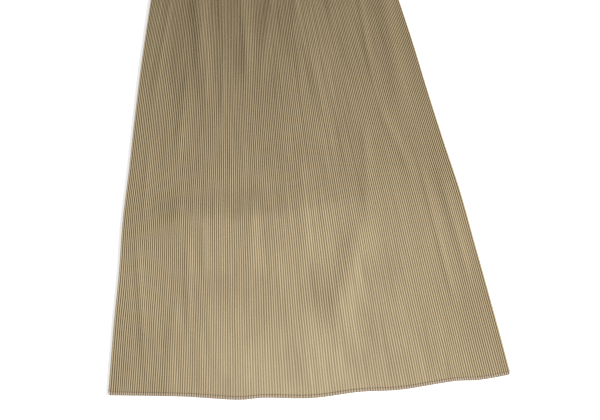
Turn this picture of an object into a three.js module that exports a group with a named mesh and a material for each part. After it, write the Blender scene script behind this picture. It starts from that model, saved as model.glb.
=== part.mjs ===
// A pleated midi skirt with an elastic waist, laid flat on its back, in millimetres.
// X runs across the skirt, Y runs up from the hem to the waist, and Z rises from the surface it lies on.
// The origin is the middle of the skirt's footprint, on that surface.
import * as THREE from "three";

// Cloth and pleats.
const PLEATS = 165; // accordion pleats across one panel, from side seam to side seam
const PLEAT_SIDE = 2.8; // cloth between one crease and the next
const CLOTH = 0.4; // the cloth and the roundness of its creases
const PLAIN_WALL = 1; // wall under the bottom of each pleat
const SEAM_GAP = 0.3; // clearance between sewn pieces and between layers
const PLEATS_OPEN_AT_HEM = 0.11; // how much wider than the mean the middle pleats lie at the hem
const PLEATS_OPEN_AT_WAIST = -0.05; // and at the waist, where the side pleats are the wider ones

// Waistband.
const BAND_HEIGHT = 32;
const BAND_WALL = 3; // two layers of cloth with the elastic between them
const BAND_EDGE = 1; // rounding of the band's long edges
const BAND_TAPER = 3; // how much narrower each half of the band is at its top edge
const GATHERS = 33; // soft gathers that the elastic draws across the front of the band
const GATHER_DEPTH = 0.6;
const WAIST_DIP = 7; // the middle of the waist lies this much lower than its ends

// Hem.
const HEM_TURN = 5; // depth of the narrow turned hem
const HEM_PINCH = 0.5; // how far its stitching pulls the cloth down
const HEM_GROOVE = 1; // half the width of the groove that this makes
const HEM_CORNER = 4; // rounding of the hem's two corners
const HEM_LEVEL = 735; // mean length from the waist seam to the hem

// How finely the plain faces are stepped.
const INNER_COLUMNS = 44;
const BACK_COLUMNS = 28;
const BAND_COLUMNS = 36;

// The outline: the skirt's middle line and its half width, at a distance down from the waist seam.
const OUTLINE = [
  { down: 0, centre: -4, half: 163 },
  { down: 60, centre: -5, half: 177 },
  { down: 120, centre: -5, half: 192 },
  { down: 200, centre: -5, half: 211 },
  { down: 280, centre: -5, half: 228 },
  { down: 360, centre: -4, half: 245 },
  { down: 440, centre: -3, half: 263 },
  { down: 520, centre: -2, half: 277 },
  { down: 600, centre: -2, half: 292 },
  { down: 680, centre: -1.5, half: 306 },
  { down: 745, centre: -1.5, half: 317 },
];

// The hem: how far down it lies at each place across. The left side is drawn up a little.
const HEM = [
  { across: -317, down: 708 },
  { across: -256, down: 714 },
  { across: -200, down: 720 },
  { across: -145, down: 728 },
  { across: -108, down: 733 },
  { across: -71, down: 733 },
  { across: 3, down: 740 },
  { across: 78, down: 737 },
  { across: 140, down: 739 },
  { across: 228, down: 733 },
  { across: 265, down: 734.5 },
  { across: 317, down: 730 },
];

// Soft folds of the front, as ridges from one place to another, with their spread and height.
const FOLDS = [
  { fromX: -117, fromDown: 0, toX: -125, toDown: 300, spread: 10, height: 3.2 },
  { fromX: -133, fromDown: 0, toX: -213, toDown: 300, spread: 6, height: 1.3 },
  { fromX: -138, fromDown: 190, toX: -176, toDown: 372, spread: 9, height: 2.1 },
  { fromX: -78, fromDown: 0, toX: -90, toDown: 200, spread: 6, height: 1.5 },
  { fromX: -86, fromDown: 165, toX: -98, toDown: 312, spread: 5, height: 1.3 },
  { fromX: -52, fromDown: 0, toX: -52, toDown: 275, spread: 7, height: 2.3 },
  { fromX: 18, fromDown: 0, toX: -44, toDown: 285, spread: 8, height: 1.5 },
  { fromX: 38, fromDown: 0, toX: 22, toDown: 215, spread: 7, height: 1.6 },
  { fromX: 78, fromDown: 0, toX: 92, toDown: 150, spread: 8, height: 1.5 },
  { fromX: 46, fromDown: 195, toX: 63, toDown: 322, spread: 8, height: 1.4 },
  { fromX: 122, fromDown: 0, toX: 141, toDown: 300, spread: 5, height: 1.3 },
  { fromX: 154, fromDown: 0, toX: 185, toDown: 345, spread: 13, height: 2.9 },
  { fromX: 136, fromDown: 280, toX: 196, toDown: 425, spread: 7, height: 1.5 },
  { fromX: 196, fromDown: 360, toX: 240, toDown: 640, spread: 5, height: 1.1 },
  { fromX: 226, fromDown: 375, toX: 266, toDown: 610, spread: 8, height: 1.7 },
  { fromX: 120, fromDown: 310, toX: 117, toDown: 430, spread: 7, height: 1.1 },
  { fromX: 119, fromDown: 405, toX: 106, toDown: 495, spread: 9, height: 0.7 },
  { fromX: 110, fromDown: 455, toX: 42, toDown: 642, spread: 19, height: 4.2 },
  { fromX: 21, fromDown: 345, toX: 14, toDown: 550, spread: 13, height: 1.8 },
  { fromX: -66, fromDown: 420, toX: -72, toDown: 550, spread: 11, height: 1.5 },
  { fromX: -142, fromDown: 430, toX: -146, toDown: 550, spread: 6, height: 1.2 },
  { fromX: -165, fromDown: 450, toX: -181, toDown: 645, spread: 6, height: 1.1 },
  { fromX: -212, fromDown: 310, toX: -237, toDown: 455, spread: 5, height: 1 },
  { fromX: -246, fromDown: 445, toX: -252, toDown: 705, spread: 6, height: 1.3 },
  { fromX: -190, fromDown: 540, toX: -226, toDown: 745, spread: 12, height: 1.9 },
];
const FOLD_FADE = 0.3; // share of a fold's length over which each end dies away
const WAIST_FADE = 0.14; // the same where a fold starts at the waist seam
const INSIDE_LIFT = 0.7; // the plain inside follows the folds by this share

// Reads one column of a table at a place between its rows, on a smooth curve through them.
function readTable(rows, key, column, at) {
  const last = rows.length - 1;
  let i = 0;
  while (i < last - 1 && rows[i + 1][key] < at) i += 1;
  const before = rows[Math.max(0, i - 1)];
  const from = rows[i];
  const to = rows[i + 1];
  const after = rows[Math.min(last, i + 2)];
  const span = to[key] - from[key];
  const t = THREE.MathUtils.clamp((at - from[key]) / span, 0, 1);
  const slopeFrom = ((to[column] - before[column]) / (to[key] - before[key])) * span;
  const slopeTo = ((after[column] - from[column]) / (after[key] - from[key])) * span;
  const t2 = t * t;
  const t3 = t2 * t;
  return (
    from[column] * (2 * t3 - 3 * t2 + 1) +
    slopeFrom * (t3 - 2 * t2 + t) +
    to[column] * (3 * t2 - 2 * t3) +
    slopeTo * (t3 - t2)
  );
}

// A place across the skirt, from 0 at the left seam to 1 at the right, as x in millimetres.
function acrossAt(share, down) {
  const open = THREE.MathUtils.lerp(PLEATS_OPEN_AT_WAIST, PLEATS_OPEN_AT_HEM, down / HEM_LEVEL);
  const spread = share - (open / (2 * Math.PI)) * Math.sin(2 * Math.PI * share);
  const centre = readTable(OUTLINE, "down", "centre", down);
  const half = readTable(OUTLINE, "down", "half", down);
  return centre + half * (2 * spread - 1);
}

// The width that one pleat covers there.
function pitchAt(share, down) {
  const step = 1 / PLEATS;
  const from = THREE.MathUtils.clamp(share - step / 2, 0, 1 - step);
  return acrossAt(from + step, down) - acrossAt(from, down);
}

// The height of the pleated cloth: a pleat stands taller where it is pressed closer.
function layerAt(share, down) {
  const halfPitch = pitchAt(share, down) / 2;
  return Math.sqrt(PLEAT_SIDE ** 2 - halfPitch ** 2) + CLOTH;
}

function waistDown(share) {
  return WAIST_DIP * (1 - (2 * share - 1) ** 2);
}

function hemDown(share) {
  const half = readTable(OUTLINE, "down", "half", HEM_LEVEL);
  const fromSide = Math.min(share, 1 - share) * 2 * half;
  const short = Math.max(0, HEM_CORNER - fromSide);
  const corner = HEM_CORNER - Math.sqrt(HEM_CORNER ** 2 - short ** 2);
  return readTable(HEM, "across", "down", acrossAt(share, HEM_LEVEL)) - corner;
}

// The height that the soft folds lift the front by.
function foldsAt(x, down) {
  let lift = 0;
  for (const fold of FOLDS) {
    const runX = fold.toX - fold.fromX;
    const runDown = fold.toDown - fold.fromDown;
    const length = Math.hypot(runX, runDown);
    const along = ((x - fold.fromX) * runX + (down - fold.fromDown) * runDown) / length ** 2;
    const aside = ((x - fold.fromX) * runDown - (down - fold.fromDown) * runX) / length;
    const startFade = fold.fromDown === 0 ? WAIST_FADE : FOLD_FADE;
    const start = THREE.MathUtils.smoothstep(along, 0, startFade);
    const end = 1 - THREE.MathUtils.smoothstep(along, 1 - FOLD_FADE, 1);
    lift += fold.height * start * end * Math.exp(-((aside / fold.spread) ** 2));
  }
  return lift;
}

// Places down the panel where it has a row of points, as shares of the way from waist to hem,
// and the last rows, which make the groove of the hem's stitching.
const PANEL_ROWS = [0, 0.07, 0.15, 0.24, 0.33, 0.42, 0.52, 0.62, 0.72, 0.82, 0.91];
const HEM_ROWS = [
  { above: HEM_TURN + HEM_GROOVE, pinch: 0 },
  { above: HEM_TURN, pinch: HEM_PINCH },
  { above: HEM_TURN - HEM_GROOVE, pinch: 0 },
  { above: 0, pinch: 0 },
];

// The rows of one pleat line, each with its distance down and how far stitching pinches it.
function rowsAt(share) {
  const waist = waistDown(share);
  const hem = hemDown(share);
  const body = PANEL_ROWS.map((row) => ({
    down: THREE.MathUtils.lerp(waist, hem, row),
    pinch: 0,
  }));
  const turned = HEM_ROWS.map((row) => ({ down: hem - row.above, pinch: row.pinch }));
  return [...body, ...turned];
}

// A grid of points over a panel. height(share, row, column) gives z.
function gridOver(columns, height) {
  const grid = [];
  for (let column = 0; column <= columns; column += 1) {
    const share = column / columns;
    const points = rowsAt(share).map((row) => {
      const x = acrossAt(share, row.down);
      return new THREE.Vector3(x, -row.down, height(share, x, row, column));
    });
    grid.push(points);
  }
  return grid;
}

// Fills the narrow side between two lines of points that run together, with a strip of triangles.
function strip(lineA, lineB, triangles) {
  let a = 0;
  let b = 0;
  while (a < lineA.length - 1 || b < lineB.length - 1) {
    const nextA = (a + 1) / (lineA.length - 1);
    const nextB = (b + 1) / (lineB.length - 1);
    if (nextA <= nextB) {
      triangles.push(lineA[a], lineB[b], lineA[a + 1]);
      a += 1;
    } else {
      triangles.push(lineA[a], lineB[b], lineB[b + 1]);
      b += 1;
    }
  }
}

// A closed wall between an upper and a lower grid, whose columns may differ in number.
function wall(upper, lower) {
  const positions = [];
  const indexOf = (grid) =>
    grid.map((points) =>
      points.map((point) => {
        positions.push(point.x, point.y, point.z);
        return positions.length / 3 - 1;
      }),
    );
  const top = indexOf(upper);
  const bottom = indexOf(lower);
  const rows = top[0].length;
  const triangles = [];
  const face = (grid, up) => {
    for (let c = 0; c < grid.length - 1; c += 1) {
      for (let r = 0; r < rows - 1; r += 1) {
        const [p, q, s, t] = [grid[c][r], grid[c + 1][r], grid[c + 1][r + 1], grid[c][r + 1]];
        if (up) triangles.push(p, t, s, p, s, q);
        else triangles.push(p, s, t, p, q, s);
      }
    }
  };
  face(top, true);
  face(bottom, false);
  const lastTop = top[top.length - 1];
  const lastBottom = bottom[bottom.length - 1];
  const rowOf = (grid, row) => grid.map((points) => points[row]);
  strip(rowOf(bottom, 0), rowOf(top, 0), triangles);
  strip(rowOf(top, rows - 1), rowOf(bottom, rows - 1), triangles);
  strip(top[0], bottom[0], triangles);
  strip(lastBottom, lastTop, triangles);
  const geometry = new THREE.BufferGeometry();
  geometry.setAttribute("position", new THREE.Float32BufferAttribute(positions, 3));
  geometry.setIndex(triangles);
  geometry.computeVertexNormals();
  return geometry;
}

// The back panel lies flat: its pleats rest on the surface, so its solid is the plain pleated layer.
function backPanel() {
  const upper = gridOver(BACK_COLUMNS, (share, x, row) => layerAt(share, row.down));
  const lower = gridOver(BACK_COLUMNS, () => 0);
  return wall(upper, lower);
}

// The front panel lies on the back: a plain inside, and pleats raised in its outer points.
function frontPanel() {
  const floor = (share, down) => layerAt(share, down) + SEAM_GAP;
  const upper = gridOver(2 * PLEATS, (share, x, row, column) => {
    const ridge = column % 2 === 1;
    const raised = ridge ? layerAt(share, row.down) - row.pinch : PLAIN_WALL;
    return floor(share, row.down) + foldsAt(x, row.down) + raised;
  });
  const lower = gridOver(
    INNER_COLUMNS,
    (share, x, row) => floor(share, row.down) + INSIDE_LIFT * foldsAt(x, row.down),
  );
  return wall(upper, lower);
}

// Half of the waistband: a strip lying at a given height, with gathers and rounded long edges on
// the face that shows. The back half's face rests on the surface, so it is left flat.
function bandHalf(floor, gathers, rounding) {
  const profile = [
    { up: BAND_HEIGHT, drop: rounding },
    { up: BAND_HEIGHT - BAND_EDGE, drop: 0 },
    { up: SEAM_GAP + BAND_EDGE, drop: 0 },
    { up: SEAM_GAP, drop: rounding },
  ];
  const gridAt = (columns, height) => {
    const grid = [];
    for (let column = 0; column <= columns; column += 1) {
      const share = column / columns;
      const points = profile.map((edge) => {
        const taper = BAND_TAPER * (edge.up / BAND_HEIGHT) * (1 - 2 * share);
        const x = acrossAt(share, 0) + taper;
        return new THREE.Vector3(x, edge.up - waistDown(share), height(edge, column));
      });
      grid.push(points);
    }
    return grid;
  };
  const dip = (column) => (gathers > 0 && column % 2 === 0 ? GATHER_DEPTH : 0);
  return wall(
    gridAt(gathers > 0 ? 2 * gathers : BAND_COLUMNS, (edge, column) => {
      return floor + BAND_WALL - edge.drop - dip(column);
    }),
    gridAt(BAND_COLUMNS, () => floor),
  );
}

const cloth = new THREE.MeshStandardMaterial({ color: 0x9c8660, roughness: 0.75, metalness: 0 });
const bandCloth = new THREE.MeshStandardMaterial({ color: 0x8f7a57, roughness: 0.8, metalness: 0 });

const skirt = new THREE.Group();
const pieces = [
  { name: "front_panel", geometry: frontPanel(), material: cloth },
  { name: "back_panel", geometry: backPanel(), material: cloth },
  {
    name: "waistband_front",
    geometry: bandHalf(BAND_WALL + SEAM_GAP, GATHERS, BAND_EDGE / 2),
    material: bandCloth,
  },
  { name: "waistband_back", geometry: bandHalf(0, 0, 0), material: bandCloth },
];
for (const piece of pieces) {
  const mesh = new THREE.Mesh(piece.geometry, piece.material);
  mesh.name = piece.name;
  skirt.add(mesh);
}

// The drawing starts at the waist seam, so the whole skirt is moved to put its middle at the origin.
const extent = new THREE.Box3().setFromObject(skirt);
const middle = extent.getCenter(new THREE.Vector3());
skirt.position.set(-middle.x, -middle.y, -extent.min.z);

export default skirt;
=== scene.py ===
# A pleated midi skirt with an elastic waist, laid flat on its back and seen straight from above.
# X runs across the skirt, Y runs up from the hem to the waist and Z rises from the floor, in metres.
import math

import bpy
import numpy as np
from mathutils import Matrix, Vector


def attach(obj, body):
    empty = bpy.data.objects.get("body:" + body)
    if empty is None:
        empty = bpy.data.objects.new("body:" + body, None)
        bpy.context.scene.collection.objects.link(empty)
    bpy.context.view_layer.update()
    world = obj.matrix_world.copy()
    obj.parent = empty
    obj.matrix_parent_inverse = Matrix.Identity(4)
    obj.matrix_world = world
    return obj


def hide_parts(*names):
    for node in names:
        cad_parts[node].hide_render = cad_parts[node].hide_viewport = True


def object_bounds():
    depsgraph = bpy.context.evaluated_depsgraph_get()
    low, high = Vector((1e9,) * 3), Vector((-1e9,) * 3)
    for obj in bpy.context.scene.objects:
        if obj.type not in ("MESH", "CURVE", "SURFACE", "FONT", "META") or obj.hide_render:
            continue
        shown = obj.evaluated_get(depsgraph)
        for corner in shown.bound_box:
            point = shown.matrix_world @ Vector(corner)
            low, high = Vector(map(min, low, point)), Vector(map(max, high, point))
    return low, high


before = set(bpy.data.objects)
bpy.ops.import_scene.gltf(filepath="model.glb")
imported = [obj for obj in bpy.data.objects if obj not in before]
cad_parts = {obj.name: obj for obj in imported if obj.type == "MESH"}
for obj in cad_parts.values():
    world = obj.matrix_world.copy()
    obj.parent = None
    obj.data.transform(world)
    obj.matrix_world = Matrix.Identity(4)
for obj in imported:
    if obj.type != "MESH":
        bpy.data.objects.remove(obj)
cad_low, cad_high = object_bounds()


# The front and back panels. Each is one width of khaki polyester cloth, hemmed while it was flat,
# heat set in fine accordion pleats and sewn to the other at the sides. The front lies on the back,
# and soft folds run down it from the waist.
PLEATS = 165
PLEAT_SIDE = 0.0028  # cloth between one crease and the next
LAYER_ROUNDING = 0.0004  # what the cloth's thickness adds to a pleated layer
CLOTH = 0.00024
SEAM_GAP = 0.0003
PLEATS_OPEN_AT_HEM = 0.11
PLEATS_OPEN_AT_WAIST = -0.05
GONE_FLAT = 0.14  # how much lower the widest pleats stand than their cloth allows
FLAT_FROM = 0.0034  # a pleat's width where it begins to go flat
FLAT_WHOLLY = 0.0043
WAIST_DIP = 0.007
BAND_HEIGHT = 0.032
HEM_TURN = 0.005
HEM_CLOTH = 0.0006  # the hem is turned twice, so it is thicker
CREASE_WALL = 1.5  # the most that a crease may thicken the cloth's wall
HEM_CORNER = 0.0055  # rounding of the hem's two corners
HEM_LEVEL = 0.735  # mean length from the waist seam to the hem
WAIST_FADE = 0.14  # the share of a fold's length over which it rises from the waist
FOLD_FADE = 0.3  # and over which it rises or dies away elsewhere

# How unevenly the pleats lie: how far they stray to the side, by how large a share their heights
# differ, and how far the stitching at the waist and the hem presses them down.
STRAY_BROAD = 0.0011
STRAY_FINE = 0.0004
UNLIKE_NEXT = 0.10
UNLIKE_NEARBY = 0.06
LEFT_AT_WAIST = 0.45
WAIST_PRESS_RUN = 0.014
HEM_PRESS = 0.30
HEM_PRESS_REACH = 0.0009
HEM_WAVE = 0.0006
HEM_WAVE_RUN = 0.050

# The outline: the middle line and half width at a distance down from the waist seam.
OUTLINE = [
    dict(down=0.000, centre=-0.0040, half=0.163),
    dict(down=0.060, centre=-0.0050, half=0.177),
    dict(down=0.120, centre=-0.0050, half=0.192),
    dict(down=0.200, centre=-0.0050, half=0.211),
    dict(down=0.280, centre=-0.0050, half=0.228),
    dict(down=0.360, centre=-0.0040, half=0.245),
    dict(down=0.440, centre=-0.0030, half=0.263),
    dict(down=0.520, centre=-0.0020, half=0.277),
    dict(down=0.600, centre=-0.0020, half=0.292),
    dict(down=0.680, centre=-0.0015, half=0.306),
    dict(down=0.745, centre=-0.0015, half=0.317),
]

# The hem: how far down it lies at each place across.
HEM = [
    dict(across=-0.317, down=0.7080),
    dict(across=-0.256, down=0.7140),
    dict(across=-0.200, down=0.7200),
    dict(across=-0.145, down=0.7280),
    dict(across=-0.108, down=0.7330),
    dict(across=-0.071, down=0.7330),
    dict(across=0.003, down=0.7400),
    dict(across=0.078, down=0.7370),
    dict(across=0.140, down=0.7390),
    dict(across=0.228, down=0.7330),
    dict(across=0.265, down=0.7345),
    dict(across=0.317, down=0.7300),
]

# Soft folds of the front, as ridges from one place to another, with their spread and height.
FOLDS = [
    dict(start=(-0.117, 0.000), end=(-0.125, 0.300), spread=0.0100, height=0.0032),
    dict(start=(-0.133, 0.000), end=(-0.213, 0.300), spread=0.0060, height=0.0013),
    dict(start=(-0.138, 0.190), end=(-0.176, 0.372), spread=0.0090, height=0.0021),
    dict(start=(-0.078, 0.000), end=(-0.090, 0.200), spread=0.0060, height=0.0015),
    dict(start=(-0.086, 0.165), end=(-0.098, 0.312), spread=0.0050, height=0.0013),
    dict(start=(-0.052, 0.000), end=(-0.052, 0.275), spread=0.0070, height=0.0023),
    dict(start=(0.018, 0.000), end=(-0.044, 0.285), spread=0.0080, height=0.0015),
    dict(start=(0.038, 0.000), end=(0.022, 0.215), spread=0.0070, height=0.0016),
    dict(start=(0.078, 0.000), end=(0.092, 0.150), spread=0.0080, height=0.0015),
    dict(start=(0.046, 0.195), end=(0.063, 0.322), spread=0.0080, height=0.0014),
    dict(start=(0.122, 0.000), end=(0.141, 0.300), spread=0.0050, height=0.0013),
    dict(start=(0.154, 0.000), end=(0.185, 0.345), spread=0.0130, height=0.0029),
    dict(start=(0.136, 0.280), end=(0.196, 0.425), spread=0.0070, height=0.0015),
    dict(start=(0.196, 0.360), end=(0.240, 0.640), spread=0.0050, height=0.0011),
    dict(start=(0.226, 0.375), end=(0.266, 0.610), spread=0.0080, height=0.0017),
    dict(start=(0.120, 0.310), end=(0.117, 0.430), spread=0.0070, height=0.0011),
    dict(start=(0.119, 0.405), end=(0.106, 0.495), spread=0.0090, height=0.0007),
    dict(start=(0.110, 0.455), end=(0.042, 0.642), spread=0.0190, height=0.0042),
    dict(start=(0.021, 0.345), end=(0.014, 0.550), spread=0.0130, height=0.0018),
    dict(start=(-0.066, 0.420), end=(-0.072, 0.550), spread=0.0110, height=0.0015),
    dict(start=(-0.142, 0.430), end=(-0.146, 0.550), spread=0.0060, height=0.0012),
    dict(start=(-0.165, 0.450), end=(-0.181, 0.645), spread=0.0060, height=0.0011),
    dict(start=(-0.212, 0.310), end=(-0.237, 0.455), spread=0.0050, height=0.0010),
    dict(start=(-0.246, 0.445), end=(-0.252, 0.705), spread=0.0060, height=0.0013),
    dict(start=(-0.190, 0.540), end=(-0.226, 0.745), spread=0.0120, height=0.0019),
]

# A pleat is four lines of points, at shares of its width: two at its foot and two along its ridge.
PLEAT_LINES = np.array([0.06, 0.44, 0.56, 0.94])
RIDGE_LINES = np.array([0, 1, 1, 0])
COLUMNS = len(PLEAT_LINES) * PLEATS

# Rows of points down a panel: close together at the waist seam and at the stitched hem.
WAIST_ROWS = np.array([0, 0.0015, 0.004, 0.008, 0.014])
BODY_ROWS = 54
HEM_ROWS = np.array([0.0120, 0.0085, 0.0064, 0.0055, 0.0050, 0.0045, 0.0034, 0.0018, 0.0005, 0])
ROWS = len(WAIST_ROWS) + BODY_ROWS + len(HEM_ROWS) - 1


def read_table(table, key, column, at):
    """One column of a table at places between its rows, on a smooth curve through them."""
    keys = np.array([row[key] for row in table])
    values = np.array([row[column] for row in table])
    slopes = np.gradient(values, keys)
    slopes[1:-1] = (values[2:] - values[:-2]) / (keys[2:] - keys[:-2])
    i = np.clip(np.searchsorted(keys, at) - 1, 0, len(keys) - 2)
    span = keys[i + 1] - keys[i]
    t = np.clip((at - keys[i]) / span, 0, 1)
    return (
        values[i] * (2 * t**3 - 3 * t**2 + 1)
        + slopes[i] * span * (t**3 - 2 * t**2 + t)
        + values[i + 1] * (3 * t**2 - 2 * t**3)
        + slopes[i + 1] * span * (t**3 - t**2)
    )


def soft_step(value, low, high):
    t = np.clip((value - low) / (high - low), 0, 1)
    return t * t * (3 - 2 * t)


def uneven(x, y, cell_x, cell_y, seed):
    """Soft unevenness from -1 to 1 that changes over about one cell each way."""
    lattice = np.random.default_rng(seed).uniform(-1, 1, (256, 256))
    px = x / cell_x + 100
    py = y / cell_y + 20
    ix = np.floor(px).astype(int)
    iy = np.floor(py).astype(int)
    tx = soft_step(px - ix, 0, 1)
    ty = soft_step(py - iy, 0, 1)
    near = lattice[ix % 256, iy % 256] * (1 - tx) + lattice[(ix + 1) % 256, iy % 256] * tx
    far = lattice[ix % 256, (iy + 1) % 256] * (1 - tx) + lattice[(ix + 1) % 256, (iy + 1) % 256] * tx
    return near * (1 - ty) + far * ty


def across_at(share, down):
    """The place of a pleat line, as a share of the way from the left seam to the right one."""
    opening = PLEATS_OPEN_AT_WAIST + (PLEATS_OPEN_AT_HEM - PLEATS_OPEN_AT_WAIST) * down / HEM_LEVEL
    spread = share - opening / (2 * math.pi) * np.sin(2 * math.pi * share)
    centre = read_table(OUTLINE, "down", "centre", down)
    return centre + read_table(OUTLINE, "down", "half", down) * (2 * spread - 1)


def pitch_at(share, down):
    first = np.clip(share - 0.5 / PLEATS, 0, 1 - 1 / PLEATS)
    return across_at(first + 1 / PLEATS, down) - across_at(first, down)


def layer_at(share, down):
    """The height of one pleated layer of the solid, which stands taller where it is pressed closer."""
    return np.sqrt(PLEAT_SIDE**2 - (pitch_at(share, down) / 2) ** 2) + LAYER_ROUNDING


def waist_down(share):
    return WAIST_DIP * (1 - (2 * share - 1) ** 2)


def hem_down(share):
    half = read_table(OUTLINE, "down", "half", np.array(HEM_LEVEL))
    from_side = np.minimum(share, 1 - share) * 2 * half
    short = np.maximum(0, HEM_CORNER - from_side)
    corner = HEM_CORNER - np.sqrt(HEM_CORNER**2 - short**2)
    return read_table(HEM, "across", "down", across_at(share, np.full_like(share, HEM_LEVEL))) - corner


def folds_at(x, down):
    """How far the soft folds lift the front panel."""
    lift = np.zeros_like(x)
    for fold in FOLDS:
        run_x = fold["end"][0] - fold["start"][0]
        run_down = fold["end"][1] - fold["start"][1]
        length = math.hypot(run_x, run_down)
        from_x = x - fold["start"][0]
        from_down = down - fold["start"][1]
        along = (from_x * run_x + from_down * run_down) / length**2
        aside = (from_x * run_down - from_down * run_x) / length
        fade = WAIST_FADE if fold["start"][1] == 0 else FOLD_FADE
        ends = soft_step(along, 0, fade) * (1 - soft_step(along, 1 - FOLD_FADE, 1))
        lift += fold["height"] * ends * np.exp(-((aside / fold["spread"]) ** 2))
    return lift


def flank_height(pitch):
    """How high a pleat stands over its foot, from the cloth in it and the width that it covers.

    The widest pleats have gone a little flat.
    """
    tip = PLEAT_LINES[2] - PLEAT_LINES[1]
    flank = PLEAT_LINES[1] - PLEAT_LINES[0]
    flat = 1 - GONE_FLAT * soft_step(pitch, FLAT_FROM, FLAT_WHOLLY)
    return flat * np.sqrt((PLEAT_SIDE - tip * pitch) ** 2 - (flank * pitch) ** 2)


skirt_middle = float(across_at(np.array([0.0, 1.0]), hem_down(np.array([0.0, 1.0]))).mean())
waist_seam = cad_high.y - BAND_HEIGHT


def panel_points(place, down, above, ridge, front):
    """Points on the middle of a panel's cloth.

    place counts pleats from the left seam, down and above are the distances from the waist seam
    and from the hem, and ridge is 1 on a pleat's ridge and 0 at its foot.
    """
    share = place / PLEATS
    seed = 3 if front else 40
    inside = soft_step(np.minimum(share, 1 - share), 0, 0.03)
    x = across_at(share, down)
    x = x + inside * STRAY_BROAD * uneven(x, down, 0.030, 0.140, seed)
    x = x + inside * STRAY_FINE * uneven(x, down, 0.008, 0.050, seed + 1)
    pleat = np.floor(place)
    taller = 1 + UNLIKE_NEXT * uneven(pleat, down, 1.0, 0.090, seed + 2)
    taller = taller + UNLIKE_NEARBY * uneven(x, down, 0.020, 0.070, seed + 3)
    from_waist = soft_step(down - waist_down(share), 0, WAIST_PRESS_RUN)
    sewn_waist = LEFT_AT_WAIST + (1 - LEFT_AT_WAIST) * from_waist
    stitched = 1 - HEM_PRESS * np.exp(-(((above - HEM_TURN) / HEM_PRESS_REACH) ** 2))
    height = flank_height(pitch_at(share, down)) * taller * sewn_waist * stitched
    layer = layer_at(share, down)
    half_cloth = np.where(above < HEM_TURN, HEM_CLOTH, CLOTH) / 2
    at_seam = (place == 0) | (place == PLEATS)
    from_seam = half_cloth + (SEAM_GAP - CLOTH) / 2
    if front:
        # The hem lies in slight waves.
        wave = HEM_WAVE * uneven(x, down, 0.035, 0.060, seed + 4)
        wave = wave * (1 - soft_step(above, 0, HEM_WAVE_RUN))
        foot = layer + SEAM_GAP + half_cloth + folds_at(x, down) + np.maximum(wave, 0)
        z = np.where(at_seam, layer + from_seam, foot + height * ridge)
    else:
        # The wall, which is thickest at a crease, stays over the floor and under the front's feet.
        wall = half_cloth * CREASE_WALL
        z = np.minimum(wall + height * (1 - ridge), layer - wall)
        z = np.where(at_seam, layer - from_seam, z)
    return x - skirt_middle, waist_seam - down, z


def even_the_wall(panel, cloth):
    """Draws in the points where a sharp crease made the cloth's wall too thick."""
    points = np.empty(len(panel.data.vertices) * 3)
    panel.data.vertices.foreach_get("co", points)
    outer, inner = points.reshape(2, -1, 3)
    middle = (outer + inner) / 2
    wall = np.linalg.norm(outer - inner, axis=1)
    keep = np.minimum(1, CREASE_WALL * cloth / wall)[:, None]
    points = np.concatenate([middle + (outer - middle) * keep, middle + (inner - middle) * keep])
    panel.data.vertices.foreach_set("co", points.ravel())


def pleated_panel(name, front):
    """One panel, as a grid whose points are moved to the pleats and which then gets its thickness."""
    bpy.ops.object.select_all(action="DESELECT")
    bpy.ops.mesh.primitive_grid_add(x_subdivisions=COLUMNS, y_subdivisions=ROWS, size=1)
    panel = bpy.context.object
    panel.name = name
    panel.data.name = name
    points = np.empty(len(panel.data.vertices) * 3)
    panel.data.vertices.foreach_get("co", points)
    points = points.reshape(-1, 3)
    column = np.rint((points[:, 0] + 0.5) * COLUMNS).astype(int)
    row = np.rint((0.5 - points[:, 1]) * ROWS).astype(int)
    place = column // 4 + PLEAT_LINES[column % 4]
    place[column == 0] = 0
    place[column == COLUMNS] = PLEATS
    ridge = RIDGE_LINES[column % 4]
    share = place / PLEATS
    waist = waist_down(share)
    hem = hem_down(share)
    body = np.linspace(0, 1, BODY_ROWS + 2)[1:-1]
    rows_down = np.concatenate([WAIST_ROWS, np.zeros(BODY_ROWS + len(HEM_ROWS))])
    rows_above = np.concatenate([np.zeros(len(WAIST_ROWS) + BODY_ROWS), HEM_ROWS])
    body_share = np.concatenate([np.zeros(len(WAIST_ROWS)), body, np.ones(len(HEM_ROWS))])
    top = waist + WAIST_ROWS[-1]
    bottom = hem - HEM_ROWS[0]
    down = top + (bottom - top) * body_share[row]
    down = np.where(row < len(WAIST_ROWS), waist + rows_down[row], down)
    down = np.where(row >= ROWS + 1 - len(HEM_ROWS), hem - rows_above[row], down)
    above = hem - down
    x, y, z = panel_points(place, down, above, ridge, front)
    panel.data.vertices.foreach_set("co", np.column_stack([x, y, z]).ravel())

    # The map runs from 0 to 1 across the pleats, and up from the hem by its length.
    corners = np.empty(len(panel.data.loops), dtype=int)
    panel.data.loops.foreach_get("vertex_index", corners)
    uv = np.column_stack([share[corners], above[corners] / HEM_LEVEL])
    panel.data.uv_layers[0].name = "pleats"
    panel.data.uv_layers[0].data.foreach_set("uv", uv.ravel())

    hem_group = panel.vertex_groups.new(name="hem")
    hem_group.add([int(v) for v in np.flatnonzero(above < HEM_TURN)], 1.0, "REPLACE")
    thick = panel.modifiers.new("cloth", "SOLIDIFY")
    thick.thickness = HEM_CLOTH
    thick.offset = 0
    thick.use_even_offset = True
    thick.vertex_group = "hem"
    thick.thickness_vertex_group = CLOTH / HEM_CLOTH
    bpy.ops.object.modifier_apply(modifier=thick.name)
    even_the_wall(panel, np.where(above < HEM_TURN, HEM_CLOTH, CLOTH))
    bpy.ops.object.shade_smooth()
    return panel


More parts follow.
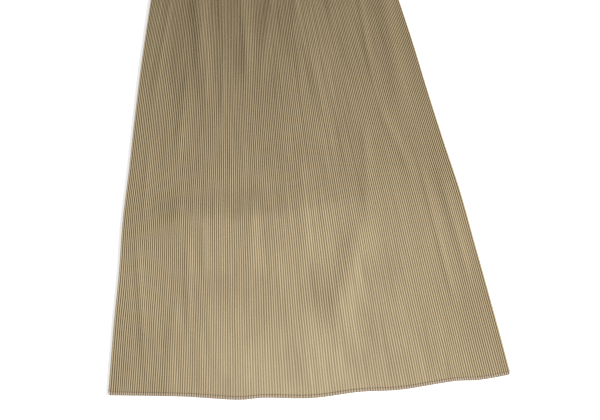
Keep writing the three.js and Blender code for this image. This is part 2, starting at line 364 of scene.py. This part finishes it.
class Tone:
    """One output of a material's nodes. Arithmetic on tones adds Math nodes."""

    def __init__(self, tree, socket=None):
        self.tree = tree
        self.socket = socket

    def node(self, kind, settings, sockets, output=0):
        """A new node in the same material: its settings are set first, then its sockets."""
        made = self.tree.nodes.new(kind)
        for key, value in settings.items():
            setattr(made, key, value)
        for key, value in sockets.items():
            if isinstance(value, Tone):
                self.tree.links.new(value.socket, made.inputs[key])
            else:
                made.inputs[key].default_value = value
        return Tone(self.tree, made.outputs[output])

    def math(self, operation, *others):
        return self.node("ShaderNodeMath", {"operation": operation}, dict(enumerate((self, *others))))

    def __add__(self, other):
        return self.math("ADD", other)

    def __sub__(self, other):
        return self.math("SUBTRACT", other)

    def __rsub__(self, other):
        return self.math("MULTIPLY_ADD", -1.0, other)

    def __mul__(self, other):
        return self.math("MULTIPLY", other)

    __radd__ = __add__
    __rmul__ = __mul__

    def soft_step(self, low, high):
        sockets = {"Value": self, "From Min": low, "From Max": high}
        return self.node("ShaderNodeMapRange", {"interpolation_type": "SMOOTHSTEP"}, sockets)

    def mix(self, colour_a, colour_b):
        """colour_a where this tone is 0 and colour_b where it is 1."""
        sockets = {0: self, 6: colour_a, 7: colour_b}
        return self.node("ShaderNodeMix", {"data_type": "RGBA"}, sockets, 2)

    def into(self, socket):
        self.tree.links.new(self.socket, socket)


# The cloth's finish. The pleats' feet are darker than their ridges in painted shade, most of all where
# the pleats are pressed close, at the sides and towards the waist, and each pleat's tone differs a
# little. Painted shade darkens the cloth towards the waist and over a faint level line, and the turned
# hem's ridges carry a paler, greyer painted highlight.
KHAKI_RIDGE = (0.547, 0.443, 0.277, 1)
KHAKI_FOOT_SHADE = (0.118, 0.071, 0.004, 1)
KHAKI_ROSE = (0.480, 0.375, 0.245, 1)
KHAKI_DEEP = (0.165, 0.117, 0.056, 1)
KHAKI_HEM_HIGHLIGHT = (0.640, 0.525, 0.445, 1)
WEAVE = 0.00045  # from one yarn to the next
WEAVE_DEPTH = 0.00004
# The level line marks where painted shade begins: the cloth over it is darker, most of all in a band just
# over it.
LEVEL_LINE = 0.251  # the level line's height over the hem at the left side
LEVEL_RISE = 0.050  # how much higher it lies at the right side
LEVEL_BAND = 0.045  # the darker band just over it

# Patches of painted shade on the cloth, or painted light if below 0: the place across as a share, the
# height over the hem, and how far the patch fades to each side.
PATCHES = [
    dict(across=0.46, above=0.150, wide=0.13, tall=0.080, deeper=0.08),
    dict(across=0.56, above=0.160, wide=0.07, tall=0.060, deeper=0.06),
    dict(across=0.15, above=0.530, wide=0.08, tall=0.150, deeper=0.12),
    dict(across=0.66, above=0.530, wide=0.11, tall=0.170, deeper=-0.12),
    dict(across=0.93, above=0.240, wide=0.22, tall=0.130, deeper=-0.25),
    dict(across=0.94, above=0.420, wide=0.17, tall=0.120, deeper=-0.17),
    dict(across=0.03, above=0.200, wide=0.12, tall=0.090, deeper=-0.17),
    dict(across=0.14, above=0.285, wide=0.09, tall=0.060, deeper=0.09),
    dict(across=0.04, above=0.380, wide=0.09, tall=0.140, deeper=-0.08),
    dict(across=0.45, above=0.390, wide=0.08, tall=0.080, deeper=0.07),
]


def pleated_cloth():
    cloth = bpy.data.materials.new("pleated_cloth")
    cloth.use_nodes = True
    surface = cloth.node_tree.nodes["Principled BSDF"]
    # Across the pleats from 0 to 1, and up from the hem in metres.
    uv = Tone(cloth.node_tree).node("ShaderNodeUVMap", {"uv_map": "pleats"}, {})
    across = uv.node("ShaderNodeSeparateXYZ", {}, {"Vector": uv}, "X")
    above = uv.node("ShaderNodeSeparateXYZ", {}, {"Vector": uv}, "Y") * HEM_LEVEL
    place = across * PLEATS
    from_ridge = (place.math("FRACT") * 2 - 1).math("ABSOLUTE")
    side = (across * 2 - 1).math("ABSOLUTE")
    towards_waist = above.soft_step(0.05, 0.72)
    pleat_map = uv.node("ShaderNodeCombineXYZ", {}, {"X": place * 0.9, "Y": above * 9})
    pleat_tone = uv.node(
        "ShaderNodeTexNoise",
        {"noise_dimensions": "2D"},
        {"Vector": pleat_map, "Scale": 1.0, "Detail": 2.0},
    )
    broad_map = uv.node("ShaderNodeCombineXYZ", {}, {"X": across * 11, "Y": above * 9})
    broad_tone = uv.node(
        "ShaderNodeTexNoise",
        {"noise_dimensions": "2D"},
        {"Vector": broad_map, "Scale": 1.0, "Detail": 3.0},
    )
    # The ridges, and the feet in painted shade.
    hem_band = 1 - above.soft_step(HEM_TURN - 0.0004, HEM_TURN + 0.0004)
    # Painted shade, or painted light where a patch's value is below 0.
    patch_shade = sum(
        (1 - (across - patch["across"]).math("ABSOLUTE").soft_step(0.0, patch["wide"]))
        * (1 - (above - patch["above"]).math("ABSOLUTE").soft_step(0.0, patch["tall"]))
        * patch["deeper"]
        for patch in PATCHES
    )
    # Painted shade in the pleats' feet, deeper towards the waist, at the sides, in the hem band and in
    # the patches.
    painted_foot_shade = above.soft_step(0.02, 0.60) * 1.46 + side * side * 1.27
    painted_foot_shade = painted_foot_shade + hem_band * 0.90 + patch_shade * 2.5
    foot = (from_ridge * from_ridge * painted_foot_shade).math("MINIMUM", 1.0)
    colour = foot.mix(KHAKI_RIDGE, KHAKI_FOOT_SHADE)
    rosy = broad_tone.soft_step(0.45, 0.75) * 0.5 * (1 - from_ridge)
    colour = rosy.mix(colour, KHAKI_ROSE)
    # A painted highlight in a paler, greyer khaki along the turned hem's ridges.
    hem_ridge_highlight = hem_band * 0.7 * (1 - from_ridge)
    colour = hem_ridge_highlight.mix(colour, KHAKI_HEM_HIGHLIGHT)
    # Painted shade and painted light over the level line, the sides, the waist and the stitching, all as
    # a mix with the deepest khaki.
    from_line = above - across * LEVEL_RISE
    over_line = from_line.soft_step(LEVEL_LINE, LEVEL_LINE + 0.026)
    over_band = from_line.soft_step(LEVEL_LINE + LEVEL_BAND, LEVEL_LINE + LEVEL_BAND + 0.020)
    to_left = 1 - across.soft_step(0.35, 0.85)
    level_shade = over_line * (0.07 + to_left * 0.13) - over_band * to_left * 0.08
    # Painted light and shade in broad tones: lighter at the sides and towards the right, darker near the
    # hem and towards the waist on the left.
    near_hem = 1 - above.soft_step(0.04, 0.30)
    side_shade_and_light = side * side * (near_hem * 0.11 - 0.24) + above.soft_step(0.42, 0.72) * (1 - across) * 0.24
    side_shade_and_light = side_shade_and_light + near_hem * 0.17 - across.soft_step(0.68, 0.96) * 0.13
    uneven_tone = (pleat_tone - 0.5) * (0.35 + towards_waist * 0.30) + (broad_tone - 0.5) * 0.30
    # Painted shade along the hem's stitching, most at the pleats' feet, and along the hem's rolled edge.
    sewn = 1 - (above - HEM_TURN).math("ABSOLUTE").soft_step(0.0002, 0.0011)
    hem_edge_shade = 1 - above.soft_step(0.0002, 0.0014)
    stitched = sewn * (0.25 + from_ridge * 0.6) + hem_edge_shade * 0.25
    # Painted shade towards the waist.
    deeper = towards_waist * 0.14 + above.soft_step(0.50, 0.72) * 0.10
    deeper = deeper + level_shade + side_shade_and_light + patch_shade + uneven_tone + stitched
    deeper = deeper.node("ShaderNodeClamp", {}, {"Value": deeper})
    deeper.mix(colour, KHAKI_DEEP).into(surface.inputs["Base Color"])
    (0.62 + pleat_tone * 0.16).into(surface.inputs["Roughness"])
    surface.inputs["Specular IOR Level"].default_value = 0.25
    surface.inputs["Sheen Weight"].default_value = 0.07
    surface.inputs["Sheen Roughness"].default_value = 0.45
    surface.inputs["Sheen Tint"].default_value = (0.80, 0.66, 0.42, 1)
    # The weave, counted along the cloth itself.
    yarn = 2 * math.pi / WEAVE
    warp = across * (PLEATS * 2 * PLEAT_SIDE * yarn)
    weft = above * yarn
    weave = warp.math("SINE") * weft.math("SINE")
    yarns = {"Strength": 0.35, "Distance": WEAVE_DEPTH, "Height": weave}
    bump = uv.node("ShaderNodeBump", {}, yarns, "Normal")
    bump.into(surface.inputs["Normal"])
    return cloth


khaki_pleats = pleated_cloth()
front_panel = pleated_panel("front_panel_cloth", True)
back_panel = pleated_panel("back_panel_cloth", False)
for panel, node in ((front_panel, "front_panel"), (back_panel, "back_panel")):
    panel.data.materials.append(khaki_pleats)
    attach(panel, "root")
    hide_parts(node)


# The hem's stitching: one row of brown khaki thread through the turned hem of each panel, sewn
# before the cloth was pleated, so that one stitch lies on each side of a pleat.
STITCH_RADIUS = 0.00016
STITCH_REACH = (0.10, 0.40)  # from near a pleat's foot to near its ridge, as shares of the pleat


def thread_stitches(name, starts, ends):
    """Many stitches as one mesh, each a short rounded piece of thread from its start to its end."""
    bpy.ops.object.select_all(action="DESELECT")
    bpy.ops.mesh.primitive_uv_sphere_add(segments=6, ring_count=6, radius=1)
    stitches = bpy.context.object
    stitches.name = name
    stitches.data.name = name
    one = np.array([v.co for v in stitches.data.vertices])
    faces = [tuple(face.vertices) for face in stitches.data.polygons]
    run = ends - starts
    length = np.linalg.norm(run, axis=1, keepdims=True)
    forward = run / length
    aside = np.cross(forward, [0, 0, 1.0])
    aside /= np.linalg.norm(aside, axis=1, keepdims=True)
    over = np.cross(aside, forward)
    middle = (starts + ends) / 2
    # The sphere's poles go to the stitch's ends, and its waist is kept thick along most of it.
    reach = np.sign(one[:, 2]) * np.abs(one[:, 2]) ** 0.6
    round_it = STITCH_RADIUS * (1 - np.abs(one[:, 2]) ** 4) / np.maximum(
        np.hypot(one[:, 0], one[:, 1]), 1e-6
    )
    points = (
        middle[:, None]
        + forward[:, None] * (reach[None, :, None] * (length[:, None] / 2))
        + aside[:, None] * (one[:, 0] * round_it)[None, :, None]
        + over[:, None] * (one[:, 1] * round_it)[None, :, None]
    )
    all_faces = [
        tuple(corner + copy * len(one) for corner in face)
        for copy in range(len(starts))
        for face in faces
    ]
    joined = bpy.data.meshes.new(name)
    joined.from_pydata(points.reshape(-1, 3).tolist(), [], all_faces)
    stitches.data = joined
    bpy.ops.object.mode_set(mode="EDIT")
    bpy.ops.mesh.select_all(action="SELECT")
    bpy.ops.mesh.normals_make_consistent(inside=False)
    bpy.ops.object.mode_set(mode="OBJECT")
    bpy.ops.object.shade_smooth()
    return stitches


def hem_stitches(name, front):
    pleat = np.repeat(np.arange(PLEATS), 2).astype(float)
    left = np.tile([True, False], PLEATS)
    ends = []
    for reach in STITCH_REACH:
        place = pleat + np.where(left, reach, 1 - reach)
        share = place / PLEATS
        down = hem_down(share) - HEM_TURN
        rise = (reach - PLEAT_LINES[0]) / (PLEAT_LINES[1] - PLEAT_LINES[0])
        x, y, z = panel_points(place, down, np.full_like(down, HEM_TURN), rise, front)
        out = HEM_CLOTH / 2 + STITCH_RADIUS
        x = x + np.where(left, -out, out) * 0.6
        z = z + (out * 0.7 if front else -out * 0.7)
        ends.append(np.column_stack([x, y, np.maximum(z, STITCH_RADIUS)]))
    return thread_stitches(name, ends[0], ends[1])


THREAD_DARK = (0.115, 0.078, 0.045, 1)
THREAD_LIGHT = (0.230, 0.165, 0.100, 1)
TWIST = 0.00035  # from one turn of the thread's twist to the next


def brown_thread():
    thread = bpy.data.materials.new("brown_thread")
    thread.use_nodes = True
    surface = thread.node_tree.nodes["Principled BSDF"]
    place = Tone(thread.node_tree).node("ShaderNodeTexCoord", {}, {}, "Object")
    twist = place.node(
        "ShaderNodeTexWave",
        {"bands_direction": "DIAGONAL"},
        {"Vector": place, "Scale": 1 / TWIST / 20, "Distortion": 1.0},
    )
    twist.mix(THREAD_DARK, THREAD_LIGHT).into(surface.inputs["Base Color"])
    (0.55 + twist * 0.2).into(surface.inputs["Roughness"])
    groove = {"Strength": 0.4, "Distance": 0.00005, "Height": twist}
    bump = place.node("ShaderNodeBump", {}, groove, "Normal")
    bump.into(surface.inputs["Normal"])
    return thread


khaki_thread = brown_thread()
front_stitches = hem_stitches("front_hem_stitches", True)
back_stitches = hem_stitches("back_hem_stitches", False)
for stitches in (front_stitches, back_stitches):
    stitches.data.materials.append(khaki_thread)
    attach(stitches, "root")


# The waistband. One strip of the same cloth, left unpleated, is folded over a wide elastic and
# sewn to the pleats. The elastic gathers it, and a row of stitching holds its lower edge.
BAND_LAYERS = 0.003  # two layers of cloth with the elastic between them
BAND_CLOTH = 0.00035
BAND_TAPER = 0.003  # how far each end draws in towards the band's top edge
BAND_COLUMNS = 300
BAND_ROWS = 30
BAND_STITCH_HEIGHT = 0.0032
BAND_STITCH = 0.0030
BAND_STITCH_STEP = 0.0037
BAND_STITCH_MARGIN = 0.006  # from each end of the band to its first stitch
BAND_DENT = 0.0004  # how far the stitching sinks into the cloth
BAND_LAP = 0.0012  # how far the front's outer face laps over the pleats
BAND_DRAWN_DOWN = 0.00125  # how much thinner the band is at its stitched lower edge
GATHER = 0.0032  # the size of one soft gather across the band
GATHER_DEPTH = 0.00075
END_ROUNDING = 0.0045


def band_points(share, up, layer, front):
    """Points on the waistband's cloth. layer is 1 on its outer face and 0 on its inner one."""
    taper = BAND_TAPER * up / BAND_HEIGHT * (1 - 2 * share)
    x = across_at(share, np.zeros_like(share)) + taper
    width = 2 * OUTLINE[0]["half"]
    from_end = np.minimum(share, 1 - share) * width
    gather = uneven(x + up * 0.05, up, GATHER, 0.017, 71 if front else 72)
    gather = gather + 0.5 * uneven(x - up * 0.04, up, GATHER * 0.45, 0.009, 73)
    sewn = 1 - 0.55 * np.exp(-(((up - BAND_STITCH_HEIGHT) / 0.0012) ** 2))
    loose = soft_step(up, -BAND_LAP, 2 * BAND_STITCH_HEIGHT)
    sewn = sewn * (0.12 + 0.88 * loose)
    ripple = GATHER_DEPTH * gather * sewn * layer * soft_step(from_end, 0, 0.010)
    dent = BAND_DENT * np.exp(-(((up - BAND_STITCH_HEIGHT) / 0.0009) ** 2)) * layer
    thickness = (BAND_LAYERS - BAND_CLOTH) * layer
    thickness = thickness - BAND_DRAWN_DOWN * layer * (1 - loose)
    if front:
        inner = BAND_LAYERS + SEAM_GAP + BAND_CLOTH / 2
        z = inner + thickness + ripple - dent
        fold = BAND_LAYERS + SEAM_GAP * 0.9
    else:
        inner = BAND_LAYERS - BAND_CLOTH / 2
        z = np.maximum(inner - thickness - ripple * 0.35 + dent, BAND_CLOTH / 2)
        fold = BAND_LAYERS + SEAM_GAP * 0.1
    bend = np.clip(from_end / END_ROUNDING, 0, 1)
    z = fold + (z - fold) * np.sqrt(1 - (1 - bend) ** 2)
    return x - skirt_middle, waist_seam + up - waist_down(share), z


def waistband_half(name, front):
    bpy.ops.object.select_all(action="DESELECT")
    bpy.ops.mesh.primitive_grid_add(x_subdivisions=BAND_COLUMNS, y_subdivisions=BAND_ROWS, size=1)
    band = bpy.context.object
    band.name = name
    band.data.name = name
    points = np.empty(len(band.data.vertices) * 3)
    band.data.vertices.foreach_get("co", points)
    points = points.reshape(-1, 3)
    share = points[:, 0] + 0.5
    # Round the fold: up the outer face, over the top and down the inner face.
    turn = (points[:, 1] + 0.5) * 2 - 1
    top = BAND_HEIGHT - BAND_CLOTH / 2
    rounding = BAND_LAYERS / 2
    straight = 0.86
    over = np.clip((np.abs(turn) - (1 - straight)) / straight, 0, 1)
    angle = np.clip(np.abs(turn) / (1 - straight), 0, 1) * math.pi / 2
    lower_edge = np.where((turn < 0) & front, -BAND_LAP, SEAM_GAP)
    up = np.where(
        over > 0,
        (top - rounding) * (1 - over) + lower_edge * over,
        top - rounding + rounding * np.cos(angle),
    )
    side = np.where(over > 0, 1.0, np.sin(angle)) * np.sign(turn)
    layer = 0.5 - 0.5 * side if front else 0.5 + 0.5 * side
    x, y, z = band_points(share, up, layer, front)
    band.data.vertices.foreach_set("co", np.column_stack([x, y, z]).ravel())
    band.data.uv_layers[0].name = "band"
    thick = band.modifiers.new("cloth", "SOLIDIFY")
    thick.thickness = BAND_CLOTH
    thick.offset = 0
    bpy.ops.object.modifier_apply(modifier=thick.name)
    bpy.ops.object.shade_smooth()
    return band


def band_stitches(name, front):
    width = 2 * OUTLINE[0]["half"]
    last = width - BAND_STITCH_MARGIN - BAND_STITCH
    starts = np.arange(BAND_STITCH_MARGIN, last, BAND_STITCH_STEP)
    along = []
    for offset in (0, BAND_STITCH / 3, BAND_STITCH * 2 / 3, BAND_STITCH):
        share = (starts + offset) / width
        up = np.full_like(share, BAND_STITCH_HEIGHT)
        along.append(np.column_stack(band_points(share, up, np.ones_like(share), front)))
    # Each stitch lies on the highest of the cloth that it crosses.
    out = BAND_CLOTH / 2 + STITCH_RADIUS * 0.6
    heights = np.array([points[:, 2] for points in along])
    z = heights.max(axis=0) + out if front else np.maximum(heights.min(axis=0) - out, STITCH_RADIUS)
    ends = [np.column_stack([points[:, 0], points[:, 1], z]) for points in (along[0], along[-1])]
    return thread_stitches(name, ends[0], ends[1])


def band_cloth():
    cloth = bpy.data.materials.new("waistband_cloth")
    cloth.use_nodes = True
    surface = cloth.node_tree.nodes["Principled BSDF"]
    place = Tone(cloth.node_tree).node("ShaderNodeTexCoord", {}, {}, "Object")
    stretched = place.node("ShaderNodeVectorMath", {"operation": "MULTIPLY"}, {0: place, 1: (1, 0.15, 1)})
    streak = place.node("ShaderNodeTexNoise", {}, {"Vector": stretched, "Scale": 260, "Detail": 3.0})
    broad = place.node("ShaderNodeTexNoise", {}, {"Vector": place, "Scale": 22, "Detail": 2.0})
    # The band is mixed a little towards the deepest khaki all over, a painted shade like the panels' near
    # the waist, with streaks and broad patches of random tone.
    deeper = 0.30 + (streak - 0.5) * 0.7 + (broad - 0.5) * 0.4
    deeper = deeper.node("ShaderNodeClamp", {}, {"Value": deeper})
    deeper.mix(KHAKI_RIDGE, KHAKI_DEEP).into(surface.inputs["Base Color"])
    (0.62 + streak * 0.18).into(surface.inputs["Roughness"])
    surface.inputs["Specular IOR Level"].default_value = 0.35
    surface.inputs["Sheen Weight"].default_value = 0.14
    surface.inputs["Sheen Roughness"].default_value = 0.45
    surface.inputs["Sheen Tint"].default_value = (0.80, 0.70, 0.50, 1)
    yarn = 2 * math.pi / WEAVE
    warp = place.node("ShaderNodeSeparateXYZ", {}, {"Vector": place}, "X") * yarn
    weft = place.node("ShaderNodeSeparateXYZ", {}, {"Vector": place}, "Y") * yarn
    weave = warp.math("SINE") * weft.math("SINE")
    yarns = {"Strength": 0.35, "Distance": 0.00005, "Height": weave}
    bump = place.node("ShaderNodeBump", {}, yarns, "Normal")
    bump.into(surface.inputs["Normal"])
    return cloth


khaki_band = band_cloth()
for front, node in ((True, "waistband_front"), (False, "waistband_back")):
    band = waistband_half(node + "_cloth", front)
    band.data.materials.append(khaki_band)
    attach(band, "root")
    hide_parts(node)
    stitches = band_stitches(node + "_stitches", front)
    stitches.data.materials.append(khaki_thread)
    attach(stitches, "root")


# The floor: a plain white table top, which reaches far enough to fill the low views. It glows a
# little, as if lit softly from below, so that the skirt's shadow on it stays faint.
FLOOR_SIZE = 40.0
FLOOR_CLEARANCE = 0.0002
bpy.ops.object.select_all(action="DESELECT")
bpy.ops.mesh.primitive_plane_add(size=FLOOR_SIZE, location=(0, 0, -FLOOR_CLEARANCE))
floor = bpy.context.object
floor.name = "floor"
table_top = bpy.data.materials.new("white_table")
table_top.use_nodes = True
surface = table_top.node_tree.nodes["Principled BSDF"]
surface.inputs["Base Color"].default_value = (0.93, 0.93, 0.925, 1)
surface.inputs["Roughness"].default_value = 0.9
surface.inputs["Emission Color"].default_value = (1, 1, 1, 1)
surface.inputs["Emission Strength"].default_value = 0.48
floor.data.materials.append(table_top)


# The light: a large soft light from the right, which draws the pleats and folds, and an even
# white room, which keeps the cloth's shaded side open.
world = bpy.data.worlds.new("white_room")
bpy.context.scene.world = world
world.use_nodes = True
world.node_tree.nodes["Background"].inputs["Color"].default_value = (1, 1, 1, 1)
world.node_tree.nodes["Background"].inputs["Strength"].default_value = 0.42


def soft_light(name, place, size, power):
    """A square light that faces the skirt's middle."""
    bpy.ops.object.light_add(type="AREA", location=place)
    light = bpy.context.object
    light.name = name
    light.data.size = size
    light.data.energy = power
    light.rotation_mode = "QUATERNION"
    light.rotation_quaternion = light.location.to_track_quat("Z", "Y")
    return light


soft_light("key", (4.35, 0.0, 3.65), 2.0, 348)


# The camera looks straight down, turned a little so that the waist leans to the left, and close
# enough that the waist is out of the picture.
PICTURE_WIDTH = 600
MM_TO_A_PIXEL = 1.55
PLEAT_TOPS = 0.006  # the picture's scale holds at this height over the floor
LENS = 70
SENSOR = 36
TURN = math.radians(-5)
AIM_ACROSS = 0.00946
AIM_DOWN = 0.4476
aim = (AIM_ACROSS - skirt_middle, waist_seam - AIM_DOWN)
height = PICTURE_WIDTH * MM_TO_A_PIXEL / 1000 * LENS / SENSOR
bpy.ops.object.camera_add(location=(aim[0], aim[1], height + PLEAT_TOPS), rotation=(0, 0, TURN))
camera = bpy.context.object
camera.data.lens = LENS
camera.data.sensor_width = SENSOR
bpy.context.scene.camera = camera
bpy.context.scene.view_settings.view_transform = "Standard"
